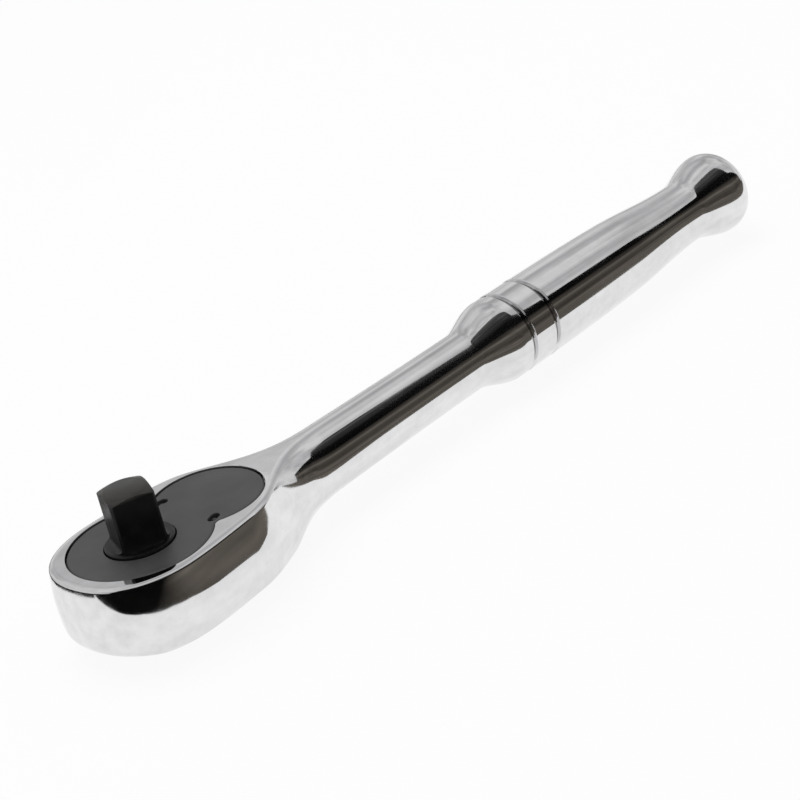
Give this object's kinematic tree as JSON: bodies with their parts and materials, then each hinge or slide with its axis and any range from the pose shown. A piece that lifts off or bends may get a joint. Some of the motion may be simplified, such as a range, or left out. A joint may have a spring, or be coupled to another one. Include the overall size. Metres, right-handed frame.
{
  "type": "ratchet wrench",
  "caption": "Reversible ratchet wrench with a square drive, dark inset cover plate, quick-release button, thumb lever and round polished handle ending in a bulb.",
  "frame": {"origin": "centre of the square drive's end face", "axes": "+Z out of the square drive along its axis, +X along the handle"},
  "size_m": [0.2123, 0.036, 0.0322],
  "materials": {
    "chrome": "polished chrome plate",
    "dark_plate": "dark satin",
    "black_steel": "black oxide",
    "spring_steel": "drawn wire",
    "bright_steel": "ground",
    "grey_steel": "hardened"
  },
  "bodies": {
    "handle": {"body": "chrome", "cover_plate": "dark_plate", "retaining_ring": "grey_steel"},
    "drive": {"drive_gear": "black_steel", "release_ring": "grey_steel", "release_spring": "spring_steel"},
    "button": {"release_pin": "bright_steel"},
    "ball": {"detent_ball": "bright_steel"},
    "lever": {"reversing_lever": "chrome", "lever_clip": "grey_steel", "plunger_spring": "spring_steel"},
    "rocker": {"pawl": "grey_steel"},
    "plunger": {"pawl_plunger": "bright_steel"}
  },
  "joints": [
    {"name": "drive_spin", "type": "hinge", "parent": "handle", "child": "drive", "pos_m": [0, 0, -0.02], "axis": [0, 0, 1], "continuous": true},
    {"name": "release_press", "type": "slide", "parent": "drive", "child": "button", "axis": [0, 0, 1], "range_m": [0, 0.0025], "stiffness_N_per_m": 1500, "springref_m": -0.0015, "deforming": ["release_spring"]},
    {"name": "ball_retract", "type": "slide", "parent": "drive", "child": "ball", "axis": [-0.3955, -0.9184, 0], "range_m": [0, 0.0006]},
    {"name": "lever_turn", "type": "hinge", "parent": "handle", "child": "lever", "pos_m": [0.0187, 0, -0.02], "axis": [0, 0, 1], "range_deg": [-28, 28]},
    {"name": "pawl_rock", "type": "hinge", "parent": "handle", "child": "rocker", "pos_m": [0.0187, 0, -0.02], "axis": [0, 0, 1], "range_deg": [-9, 9]},
    {"name": "plunger_slide", "type": "slide", "parent": "lever", "child": "plunger", "axis": [-1, 0, 0], "range_m": [0, 0.0008], "stiffness_N_per_m": 1200, "springref_m": -0.0008, "deforming": ["plunger_spring"]}
  ],
  "couplings": [
    {"joint": "ball_retract", "follows": "release_press", "ratio": 0.24},
    {"joint": "pawl_rock", "follows": "lever_turn", "ratio": 0.32143}
  ]
}
